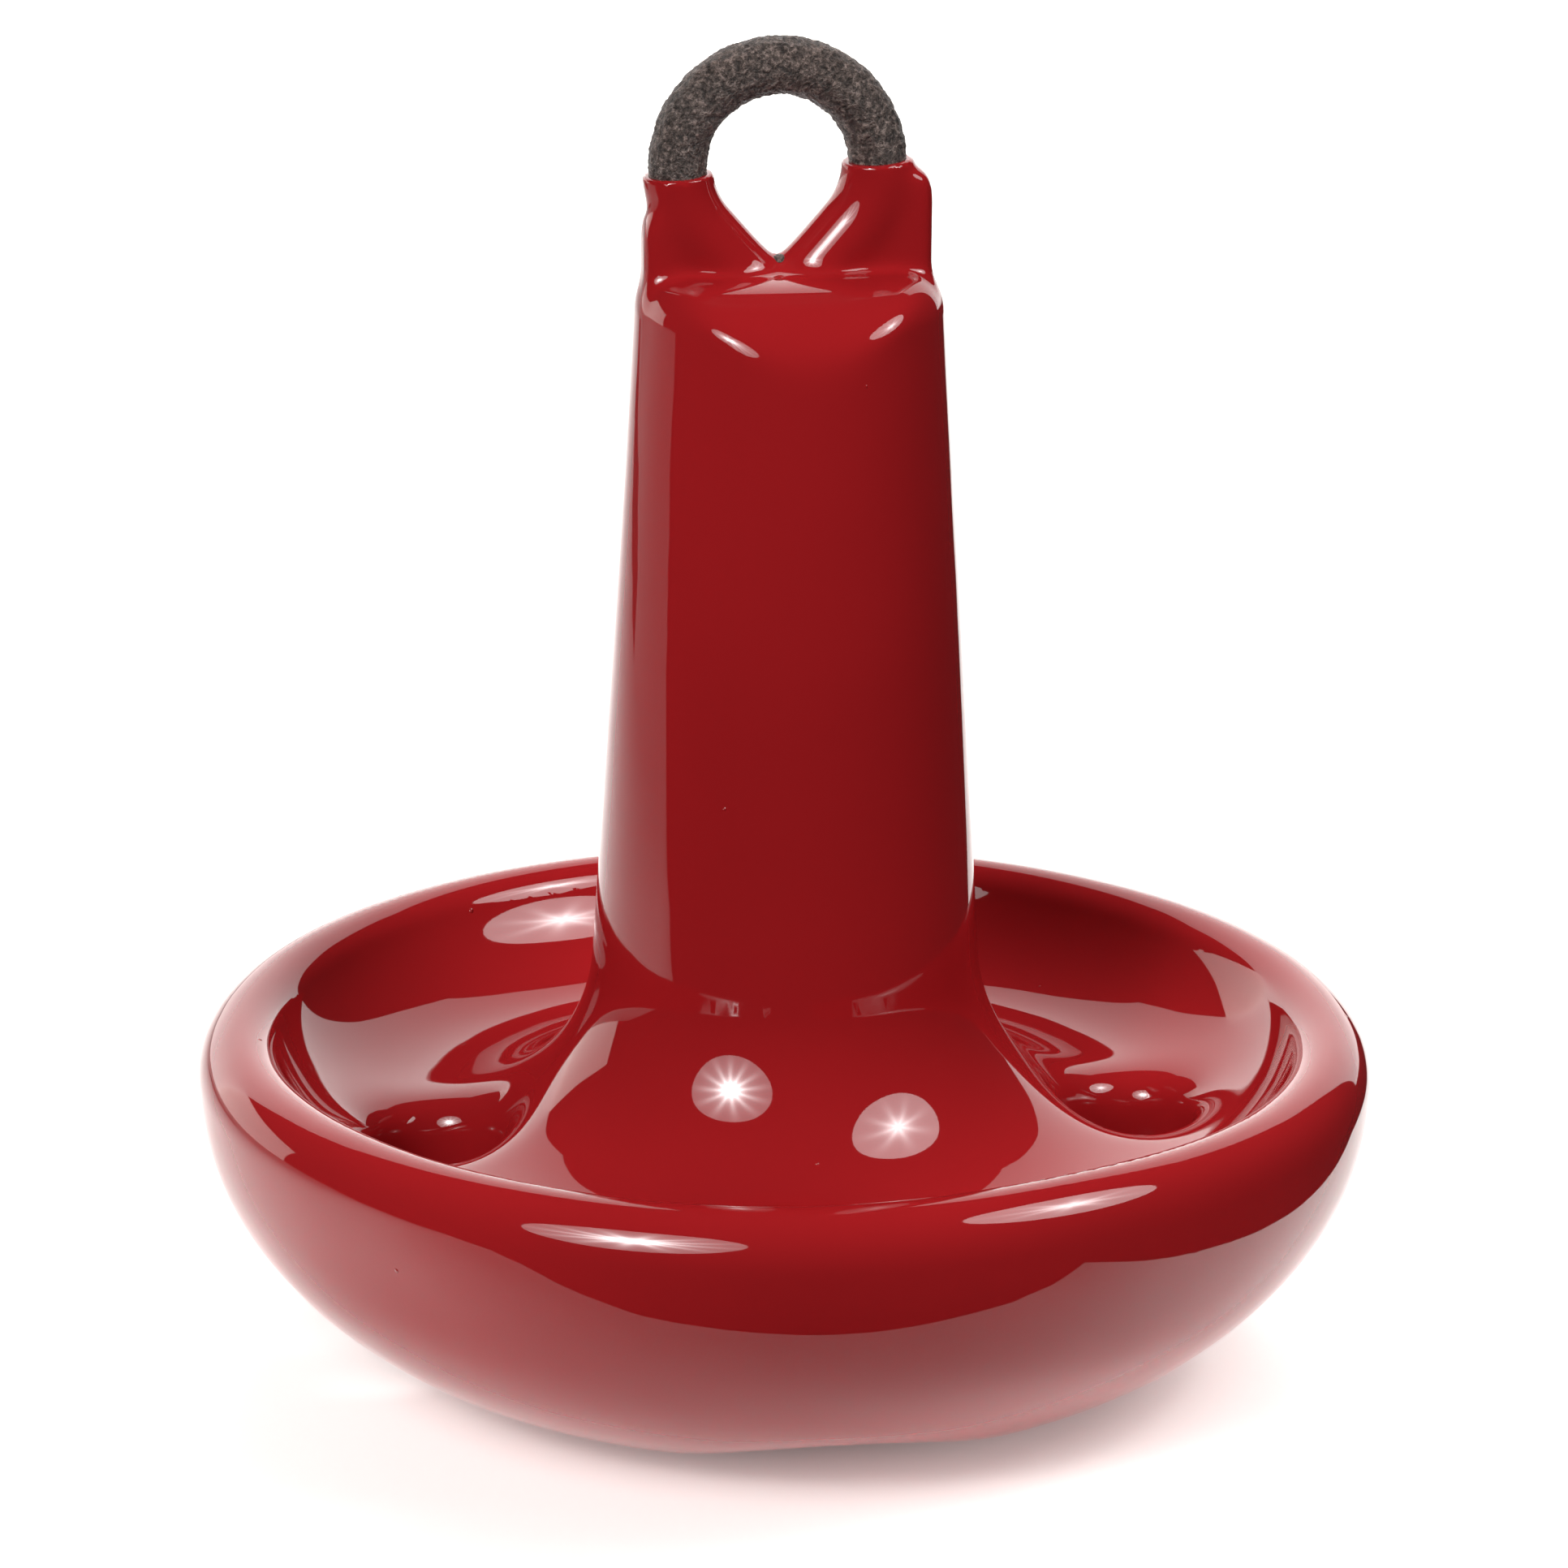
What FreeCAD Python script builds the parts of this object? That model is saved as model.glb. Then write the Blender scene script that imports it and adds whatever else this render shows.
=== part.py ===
import FreeCAD, Part
import math
import os

import Sketcher

os.makedirs("parts", exist_ok=True)

# A small-boat mushroom anchor: one grey-iron sand casting (dished cap, tapered
# round stem, flat tab and integral eye) dipped in a thick vinyl skin that stops
# at the legs of the eye. Millimetres, +Z up the stem, origin at the centre of
# the flat foot, the eye's plane is XZ.

# Sizes are those of the finished, coated outside; the iron lies one skin below.
DIMENSIONS = {
    "cap_radius": 89.0,       # widest radius of the cap
    "equator": 45.45,         # height of the widest point
    "side_arc": 38.4,         # radius of the upper part of the underside
    "foot_radius": 36.4,      # flat disc that the anchor stands on
    "rim_arc": 7.7,           # outer rounding of the rim
    "lip_arc": 5.6,           # top rounding of the rim
    "lip_height": 47.27,      # height of the lip's centre
    "trough_radius": 57.2,    # circle of the lowest points of the dish
    "trough_height": 37.0,
    "flare_arc": 28.0,        # hollow between the dish and the stem
    "stem_taper": 3.7,        # degrees from the vertical
    "stem_height": 170.0,     # top of the stem, where the tab stands
    "stem_edge": 9.0,         # rounding of the stem's top edge
    "drain_count": 2,
    "drain_circle": 51.5,     # circle of the drain holes at the dish
    "drain_radius": 9.5,
    "drain_tilt": 12.0,       # degrees, outward on the way down
    "drain_top": 4.0,         # rounding of the hole's mouth in the dish
    "drain_foot": 9.0,        # rounding of the hole's mouth underneath
    "drain_depth": 22.0,      # straight stretch between the two roundings
    "drain_ledge": 1.0,       # narrow flat round each mouth
    "hollow_arc": 68.0,       # radius of the shallow hollows underneath
    "hollow_depth": 2.7,
    "hollow_lean": 20.7,      # degrees from straight down, at the hollow
    "tab_left": 22.0,
    "tab_right": 20.8,
    "tab_thickness": 9.0,
    "tab_left_top": 178.5,
    "tab_right_top": 184.0,
    "tab_corner": 5.0,        # rounding of the tab's two upper corners
    "eye_offset": -2.0,       # the eye sits a little off the stem's axis
    "eye_height": 185.2,
    "eye_radius": 14.8,       # centre line of the bar
    "eye_bar": 4.25,          # radius of the bare bar
    "leg_angle": 40.0,        # the legs' lean from the vertical, degrees
    "skin": 2.2,              # vinyl on the cap, the stem and the tab
    "leg_skin": 1.0,          # vinyl on the legs of the eye
    "dip_height": 185.2,      # the vinyl ends here
}

doc = FreeCAD.newDocument("mushroom_anchor")
sheet = doc.addObject("Spreadsheet::Sheet", "Dimensions")
for row, (alias, value) in enumerate(DIMENSIONS.items(), start=1):
    sheet.set("A%d" % row, alias)
    sheet.set("B%d" % row, str(value))
    sheet.setAlias("B%d" % row, alias)
doc.recompute()

ORIGIN = (-1, 1)
V_AXIS = -2
START, END, CENTRE = 1, 2, 3
VECTOR_Y = FreeCAD.Vector(0, 1, 0)
VECTOR_Z = FreeCAD.Vector(0, 0, 1)

# The drain holes' cutter runs on past the dish and the underside by these lengths.
CLEAR_ABOVE = 20.0
CLEAR_BELOW = 60.0
NEAR = 0.1                    # lengths closer than this count as equal
NO_OFFSET = "0"


def size(alias):
    return float(sheet.get(alias))


def cell(expression):
    """Put the sheet's name before each of its aliases."""
    words = []
    for word in expression.split():
        words.append("Dimensions." + word if word in DIMENSIONS else word)
    return " ".join(words)


def origin_plane(body, role):
    for feature in body.Origin.OriginFeatures:
        if feature.Role == role:
            return feature
    raise RuntimeError("no origin feature " + role)


def new_sketch(body, name):
    sketch = body.newObject("Sketcher::SketchObject", name)
    sketch.AttachmentSupport = (origin_plane(body, "XZ_Plane"), [""])
    sketch.MapMode = "FlatFace"
    return sketch


def drive(sketch, kind, where, value, expression):
    """Add one driving constraint and bind it to the sheet."""
    index = sketch.addConstraint(Sketcher.Constraint(kind, *where, value))
    name = "%s_%d" % (kind, index)
    sketch.renameConstraint(index, name)
    sketch.setExpression("Constraints." + name, cell(expression))


def arc(centre_x, centre_y, radius, start, end):
    """An arc from one angle to another, in degrees, anticlockwise."""
    circle = Part.Circle(FreeCAD.Vector(centre_x, centre_y, 0), VECTOR_Z, radius)
    return Part.ArcOfCircle(circle, math.radians(start), math.radians(end))


def cap_and_stem(name, skin, skin_text):
    """The cap and the stem as one revolved body, lying `skin` inside the outside.

    The profile starts at the foot, so heights in the sketch are measured from
    there: a centre drops by one skin and an offset surface by two.
    """
    body = doc.addObject("PartDesign::Body", name)
    sketch = new_sketch(body, name + "_profile")
    sketch.AttachmentOffset = FreeCAD.Placement(
        FreeCAD.Vector(0, skin, 0), FreeCAD.Rotation())
    sketch.setExpression("AttachmentOffset.Base.y", skin_text)

    foot = size("foot_radius")
    equator = size("equator") - skin
    side = size("side_arc") - skin
    side_x = size("cap_radius") - size("side_arc")
    reach = side_x - foot
    lower = (reach ** 2 + equator ** 2 - side ** 2) / (2 * (equator - side))
    turn = math.degrees(math.atan2(equator - lower, reach))
    rim = size("rim_arc") - skin
    rim_x = size("cap_radius") - size("rim_arc")
    lip = size("lip_arc") - skin
    lip_y = size("lip_height") - skin
    lip_angle = math.degrees(math.asin((lip_y - equator) / (rim - lip)))
    lip_x = rim_x + (rim - lip) * math.cos(math.radians(lip_angle))
    trough_x = size("trough_radius")
    trough_y = size("trough_height") - 2 * skin
    run = lip_x - trough_x
    rise = lip_y - trough_y
    wall = (run ** 2 + rise ** 2 - lip ** 2) / (2 * (rise + lip))
    wall_y = trough_y + wall
    meet = math.degrees(math.atan2(lip_y - wall_y, run))
    flare = size("flare_arc") + skin
    flare_y = trough_y + flare
    taper = size("stem_taper")
    slope = math.tan(math.radians(taper))
    stem_x = trough_x - flare * math.cos(math.radians(taper))
    stem_y = flare_y + flare * math.sin(math.radians(taper))
    top = size("stem_height") - 2 * skin
    edge = size("stem_edge") - skin
    edge_y = top - edge
    edge_end = edge_y + edge * math.sin(math.radians(taper))
    edge_end_x = stem_x - (edge_end - stem_y) * slope
    edge_x = edge_end_x - edge * math.cos(math.radians(taper))

    def point(x, y):
        return FreeCAD.Vector(x, y, 0)

    FOOT, LOWER, SIDE, RIM, LIP, WALL, FLARE, STEM, EDGE, TOP, AXIS = range(11)
    sketch.addGeometry([
        Part.LineSegment(point(0, 0), point(foot, 0)),
        arc(foot, lower, lower, -90, turn),
        arc(side_x, equator, side, turn, 0),
        arc(rim_x, equator, rim, 0, lip_angle),
        arc(lip_x, lip_y, lip, lip_angle, 180 + meet),
        arc(trough_x, wall_y, wall, -90, meet),
        arc(trough_x, flare_y, flare, 180 - taper, 270),
        Part.LineSegment(point(stem_x, stem_y), point(edge_end_x, edge_end)),
        arc(edge_x, edge_y, edge, taper, 90),
        Part.LineSegment(point(edge_x, top), point(0, top)),
        Part.LineSegment(point(0, top), point(0, 0)),
    ], False)

    def tie(first, first_end, second, second_end, kind="Tangent"):
        sketch.addConstraint(Sketcher.Constraint(
            kind, first, first_end, second, second_end))

    tie(FOOT, START, *ORIGIN, kind="Coincident")
    sketch.addConstraint(Sketcher.Constraint("Horizontal", FOOT))
    sketch.addConstraint(Sketcher.Constraint("Horizontal", TOP))
    tie(FOOT, END, LOWER, START)
    tie(LOWER, END, SIDE, START)
    tie(SIDE, END, RIM, START)
    tie(RIM, END, LIP, START)
    tie(LIP, END, WALL, END)
    tie(WALL, START, FLARE, END)
    tie(FLARE, START, STEM, START)
    tie(STEM, END, EDGE, START)
    tie(EDGE, END, TOP, START)
    tie(TOP, END, AXIS, START, kind="Coincident")
    tie(AXIS, END, FOOT, START, kind="Coincident")
    sketch.addConstraint(Sketcher.Constraint("PointOnObject", TOP, END, V_AXIS))

    def across(geometry, end, value, text):
        drive(sketch, "DistanceX", (*ORIGIN, geometry, end), value, text)

    def above(geometry, end, value, text):
        drive(sketch, "DistanceY", (*ORIGIN, geometry, end), value, text)

    across(FOOT, END, foot, "foot_radius")
    across(SIDE, CENTRE, side_x, "cap_radius - side_arc")
    above(SIDE, CENTRE, equator, "equator - " + skin_text)
    drive(sketch, "Radius", (SIDE,), side, "side_arc - " + skin_text)
    above(RIM, CENTRE, equator, "equator - " + skin_text)
    drive(sketch, "Radius", (RIM,), rim, "rim_arc - " + skin_text)
    above(LIP, CENTRE, lip_y, "lip_height - " + skin_text)
    drive(sketch, "Radius", (LIP,), lip, "lip_arc - " + skin_text)
    across(WALL, START, trough_x, "trough_radius")
    across(WALL, CENTRE, trough_x, "trough_radius")
    above(WALL, START, trough_y, "trough_height - 2 * " + skin_text)
    drive(sketch, "Radius", (FLARE,), flare, "flare_arc + " + skin_text)
    drive(sketch, "Angle", (STEM,), math.radians(90 + taper),
          "( 90 + stem_taper ) * 1 deg")
    drive(sketch, "Radius", (EDGE,), edge, "stem_edge - " + skin_text)
    above(TOP, END, top, "stem_height - 2 * " + skin_text)

    turned = body.newObject("PartDesign::Revolution", name + "_turned")
    turned.Profile = sketch
    turned.ReferenceAxis = (sketch, ["V_Axis"])
    turned.Angle = 360
    doc.recompute()
    drill_drains(body, name, skin, skin_text)
    return body


def drill_drains(body, name, skin, skin_text):
    """Waisted drain holes from the dish to the underside, evenly spaced."""
    sketch = new_sketch(body, name + "_drain")
    mouth = size("trough_height")
    sketch.AttachmentOffset = FreeCAD.Placement(
        FreeCAD.Vector(size("drain_circle"), mouth, 0),
        FreeCAD.Rotation(VECTOR_Z, size("drain_tilt")))
    sketch.setExpression("AttachmentOffset.Base.x", cell("drain_circle"))
    sketch.setExpression("AttachmentOffset.Base.y", cell("trough_height"))

    waist = size("drain_radius") + skin
    upper = size("drain_top") - skin
    foot = size("drain_foot") - skin
    depth = size("drain_depth")
    ledge = size("drain_ledge") + skin
    top_y = -size("drain_top")
    low_y = top_y - depth
    mouth_x = waist + upper + ledge
    skirt_x = waist + foot + ledge

    def point(x, y):
        return FreeCAD.Vector(x, y, 0)

    AXIS, HEAD, MOUTH, SHELF, TOP, WAIST, FOOT, LEDGE, SKIRT, BASE = range(10)
    sketch.addGeometry([
        Part.LineSegment(point(0, -CLEAR_BELOW), point(0, CLEAR_ABOVE)),
        Part.LineSegment(point(0, CLEAR_ABOVE), point(mouth_x, CLEAR_ABOVE)),
        Part.LineSegment(point(mouth_x, CLEAR_ABOVE), point(mouth_x, top_y + upper)),
        Part.LineSegment(point(mouth_x, top_y + upper),
                         point(waist + upper, top_y + upper)),
        arc(waist + upper, top_y, upper, 90, 180),
        Part.LineSegment(point(waist, top_y), point(waist, low_y)),
        arc(waist + foot, low_y, foot, 180, 270),
        Part.LineSegment(point(waist + foot, low_y - foot),
                         point(skirt_x, low_y - foot)),
        Part.LineSegment(point(skirt_x, low_y - foot), point(skirt_x, -CLEAR_BELOW)),
        Part.LineSegment(point(skirt_x, -CLEAR_BELOW), point(0, -CLEAR_BELOW)),
    ], False)

    def meet(first, first_end, second, second_end, kind="Coincident"):
        sketch.addConstraint(Sketcher.Constraint(
            kind, first, first_end, second, second_end))

    meet(AXIS, END, HEAD, START)
    meet(HEAD, END, MOUTH, START)
    meet(MOUTH, END, SHELF, START)
    meet(SHELF, END, TOP, START, kind="Tangent")
    meet(TOP, END, WAIST, START, kind="Tangent")
    meet(WAIST, END, FOOT, START, kind="Tangent")
    meet(FOOT, END, LEDGE, START, kind="Tangent")
    meet(LEDGE, END, SKIRT, START)
    meet(SKIRT, END, BASE, START)
    meet(BASE, END, AXIS, START)
    for line in (AXIS, MOUTH, WAIST, SKIRT):
        sketch.addConstraint(Sketcher.Constraint("Vertical", line))
    for line in (HEAD, SHELF, LEDGE, BASE):
        sketch.addConstraint(Sketcher.Constraint("Horizontal", line))
    sketch.addConstraint(Sketcher.Constraint("PointOnObject", AXIS, START, V_AXIS))
    waist_text = "drain_radius + " + skin_text
    drive(sketch, "DistanceX", (*ORIGIN, WAIST, START), waist, waist_text)
    drive(sketch, "Radius", (TOP,), upper, "drain_top - " + skin_text)
    drive(sketch, "Radius", (FOOT,), foot, "drain_foot - " + skin_text)
    drive(sketch, "DistanceY", (*ORIGIN, WAIST, START), top_y, "0 - drain_top")
    drive(sketch, "DistanceY", (WAIST, END, WAIST, START), depth, "drain_depth")
    drive(sketch, "DistanceX", (*ORIGIN, MOUTH, END), mouth_x,
          waist_text + " + drain_top + drain_ledge")
    drive(sketch, "DistanceX", (*ORIGIN, LEDGE, END), skirt_x,
          waist_text + " + drain_foot + drain_ledge")
    sketch.addConstraint(Sketcher.Constraint(
        "DistanceY", *ORIGIN, AXIS, END, CLEAR_ABOVE))
    sketch.addConstraint(Sketcher.Constraint(
        "DistanceY", *ORIGIN, AXIS, START, -CLEAR_BELOW))

    solid_before = body.Shape.Volume
    drain = body.newObject("PartDesign::Groove", name + "_drain_cut")
    drain.Profile = sketch
    drain.ReferenceAxis = (sketch, ["V_Axis"])
    drain.Angle = 360
    doc.recompute()
    pattern = body.newObject("PartDesign::PolarPattern", name + "_drains")
    pattern.Originals = [drain]
    pattern.Axis = (origin_plane(body, "Z_Axis"), [""])
    pattern.Angle = 360
    pattern.Occurrences = int(size("drain_count"))
    pattern.setExpression("Occurrences", cell("drain_count"))
    body.Tip = pattern
    doc.recompute()
    if body.Shape.Volume >= solid_before:
        raise RuntimeError("the drain holes of %s cut nothing" % name)


def tab(name, skin, skin_text):
    """The flat tab: a plate with a V cut out of it, under the eye."""
    body = doc.addObject("PartDesign::Body", name)
    sketch = new_sketch(body, name + "_outline")
    eye_x = size("eye_offset")
    eye_z = size("eye_height")
    radius = size("eye_radius")
    lean = math.radians(size("leg_angle"))
    buried = size("stem_height") - 2 * size("stem_edge")
    side_in = size("eye_radius") * math.cos(lean)
    side_down = size("eye_radius") * math.sin(lean)
    corners = [
        (-size("tab_left") + skin, buried, "0 - tab_left + " + skin_text,
         "stem_height - 2 * stem_edge"),
        (size("tab_right") - skin, buried, "tab_right - " + skin_text,
         "stem_height - 2 * stem_edge"),
        (size("tab_right") - skin, size("tab_right_top") - skin,
         "tab_right - " + skin_text, "tab_right_top - " + skin_text),
        (eye_x + radius, size("tab_right_top") - skin,
         "eye_offset + eye_radius", "tab_right_top - " + skin_text),
        (eye_x + side_in, eye_z - side_down,
         "eye_offset + eye_radius * cos( leg_angle )",
         "eye_height - eye_radius * sin( leg_angle )"),
        (eye_x, eye_z - radius / math.sin(lean), "eye_offset",
         "eye_height - eye_radius / sin( leg_angle )"),
        (eye_x - side_in, eye_z - side_down,
         "eye_offset - eye_radius * cos( leg_angle )",
         "eye_height - eye_radius * sin( leg_angle )"),
        (eye_x - radius, size("tab_left_top") - skin,
         "eye_offset - eye_radius", "tab_left_top - " + skin_text),
        (-size("tab_left") + skin, size("tab_left_top") - skin,
         "0 - tab_left + " + skin_text, "tab_left_top - " + skin_text),
    ]
    count = len(corners)
    for index in range(count):
        here = corners[index]
        there = corners[(index + 1) % count]
        sketch.addGeometry(Part.LineSegment(
            FreeCAD.Vector(here[0], here[1], 0),
            FreeCAD.Vector(there[0], there[1], 0)), False)
    for index in range(count):
        sketch.addConstraint(Sketcher.Constraint(
            "Coincident", index, END, (index + 1) % count, START))
    for index, (x, y, x_text, y_text) in enumerate(corners):
        place = (*ORIGIN, index, START)
        drive(sketch, "DistanceX", place, x, x_text)
        drive(sketch, "DistanceY", place, y, y_text)
    plate = body.newObject("PartDesign::Pad", name + "_plate")
    plate.Profile = sketch
    plate.Midplane = True
    plate.Length = size("tab_thickness") - 2 * skin
    plate.setExpression("Length", cell("tab_thickness - 2 * " + skin_text))
    doc.recompute()
    rounded = body.newObject("PartDesign::Fillet", name + "_corners")
    rounded.Base = (plate, upper_corners(plate, size("tab_right") - skin,
                                         size("tab_left") - skin))
    rounded.Radius = size("tab_corner") - skin
    rounded.setExpression("Radius", cell("tab_corner - " + skin_text))
    doc.recompute()
    return body


def upper_corners(plate, right, left):
    """Names of the plate's two upper outer edges, which run along Y."""
    names = []
    for number, edge in enumerate(plate.Shape.Edges, start=1):
        box = edge.BoundBox
        upright = box.XLength < NEAR and box.ZLength < NEAR
        outer = abs(box.XMin - right) < NEAR or abs(box.XMin + left) < NEAR
        if upright and outer and box.ZMin > size("stem_height"):
            names.append("Edge%d" % number)
    if len(names) != 2:
        raise RuntimeError("the tab has %d upper corners" % len(names))
    return names


def eye(name, growth):
    """The eye: a bar bent round above, with two straight legs that meet below.

    Its bar is thicker than the bare one by `growth`.
    """
    lean = size("leg_angle")
    centre = FreeCAD.Vector(size("eye_offset"), 0, size("eye_height"))
    bow = doc.addObject("Part::Torus", name + "_bow")
    bow.Radius1 = size("eye_radius")
    bow.setExpression("Radius1", cell("eye_radius"))
    bow.setExpression("Radius2", cell("eye_bar + " + growth))
    bow.setExpression("Angle3", cell("180 + 2 * leg_angle"))
    upright = FreeCAD.Rotation(FreeCAD.Vector(1, 0, 0), 90)
    start = FreeCAD.Rotation(VECTOR_Z, -lean)
    bow.Placement = FreeCAD.Placement(centre, upright.multiply(start))
    pieces = [bow]
    crossing = centre - VECTOR_Z * (
        size("eye_radius") / math.sin(math.radians(lean)))
    for side, sign in (("left", -1), ("right", 1)):
        leg = doc.addObject("Part::Cylinder", "%s_%s_leg" % (name, side))
        leg.setExpression("Radius", cell("eye_bar + " + growth))
        leg.setExpression("Height", cell("eye_radius / tan( leg_angle )"))
        leg.Placement = FreeCAD.Placement(
            crossing, FreeCAD.Rotation(VECTOR_Y, sign * lean))
        pieces.append(leg)
    return pieces


def hollows(name, skin_text):
    """Two large balls that press shallow hollows into the underside, at +-Y."""
    foot = size("foot_radius")
    equator = size("equator")
    side = size("side_arc")
    reach = size("cap_radius") - side - foot
    lower = (reach ** 2 + equator ** 2 - side ** 2) / (2 * (equator - side))
    out = lower + size("hollow_arc") - size("hollow_depth")
    lean = math.radians(size("hollow_lean"))
    balls = []
    for side_name, sign in (("front", -1), ("back", 1)):
        ball = doc.addObject("Part::Sphere", "%s_%s_ball" % (name, side_name))
        ball.setExpression("Radius", cell("hollow_arc + " + skin_text))
        ball.Placement.Base = FreeCAD.Vector(
            0, sign * (foot + out * math.sin(lean)), lower - out * math.cos(lean))
        balls.append(ball)
    pair = doc.addObject("Part::MultiFuse", name + "_balls")
    pair.Shapes = balls
    return pair


def whole_form(name, inset, growth):
    """Cap, stem, tab and eye fused.

    `inset` says how far the cap, stem and tab lie inside the coated outside, and
    `growth` how much thicker the eye's bar is than the bare one.
    """
    skin = 0.0 if inset == NO_OFFSET else size(inset)
    inset_text = cell(inset)
    pieces = [cap_and_stem(name + "_body", skin, inset_text),
              tab(name + "_tab", skin, inset_text)]
    pieces += eye(name + "_eye", growth)
    fused = doc.addObject("Part::MultiFuse", name + "_fused")
    fused.Shapes = pieces
    fused.Refine = False
    form = doc.addObject("Part::Cut", name)
    form.Base = fused
    form.Tool = hollows(name, inset_text)
    doc.recompute()
    return form


casting = whole_form("casting", "skin", NO_OFFSET)
casting.Label = "anchor_casting"

outside = whole_form("outside", NO_OFFSET, "leg_skin")

# Everything above the dip line is bare iron.
above_dip = doc.addObject("Part::Box", "above_dip")
above_dip.setExpression("Length", cell("4 * cap_radius"))
above_dip.setExpression("Width", cell("4 * cap_radius"))
above_dip.setExpression("Height", cell("cap_radius"))
above_dip.setExpression("Placement.Base.x", cell("-2 * cap_radius"))
above_dip.setExpression("Placement.Base.y", cell("-2 * cap_radius"))
above_dip.setExpression("Placement.Base.z", cell("dip_height"))

dipped = doc.addObject("Part::Cut", "dipped")
dipped.Base = outside
dipped.Tool = above_dip

coat = doc.addObject("Part::Cut", "coat")
coat.Base = dipped
coat.Tool = casting
coat.Label = "vinyl_coat"

doc.recompute()

for item in doc.Objects:
    if "Invalid" in item.State or "Error" in item.State:
        raise RuntimeError("%s did not compute: %s" % (item.Name, item.State))

for piece in (casting, coat):
    shape = piece.Shape
    if shape.isNull() or not shape.isValid():
        raise RuntimeError(piece.Label + " has no valid shape")
    if len(shape.Solids) != 1:
        raise RuntimeError("%s has %d solids" % (piece.Label, len(shape.Solids)))
    box = shape.BoundBox
    print("%s volume %.0f mm3, z %.2f to %.2f, x %.2f to %.2f" % (
        piece.Label, shape.Volume, box.ZMin, box.ZMax, box.XMin, box.XMax))
    shape.exportStep("parts/%s.step" % piece.Label)
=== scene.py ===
import math

import bpy
from bpy.props import FloatProperty, FloatVectorProperty
from mathutils import Matrix, Vector


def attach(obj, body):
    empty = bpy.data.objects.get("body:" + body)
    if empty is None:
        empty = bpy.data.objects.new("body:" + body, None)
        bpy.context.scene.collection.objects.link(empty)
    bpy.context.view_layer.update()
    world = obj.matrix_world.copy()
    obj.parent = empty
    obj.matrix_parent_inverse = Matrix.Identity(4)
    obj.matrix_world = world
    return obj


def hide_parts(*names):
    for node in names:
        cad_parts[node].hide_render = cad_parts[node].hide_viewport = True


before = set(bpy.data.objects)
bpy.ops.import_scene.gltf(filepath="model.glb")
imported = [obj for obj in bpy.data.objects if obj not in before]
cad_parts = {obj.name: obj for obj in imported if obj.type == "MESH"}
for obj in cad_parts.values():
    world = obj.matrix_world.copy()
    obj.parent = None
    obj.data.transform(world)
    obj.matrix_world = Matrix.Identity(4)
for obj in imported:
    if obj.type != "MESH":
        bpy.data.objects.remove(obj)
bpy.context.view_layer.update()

bl_info = {
    "name": "Mushroom anchor",
    "version": (1, 0, 0),
    "blender": (4, 5, 0),
    "location": "View3D > Sidebar > Anchor",
    "description": "A vinyl-dipped cast-iron mushroom anchor and its studio",
    "category": "Add Mesh",
}

MM = 0.001
DEG = math.pi / 180

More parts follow.
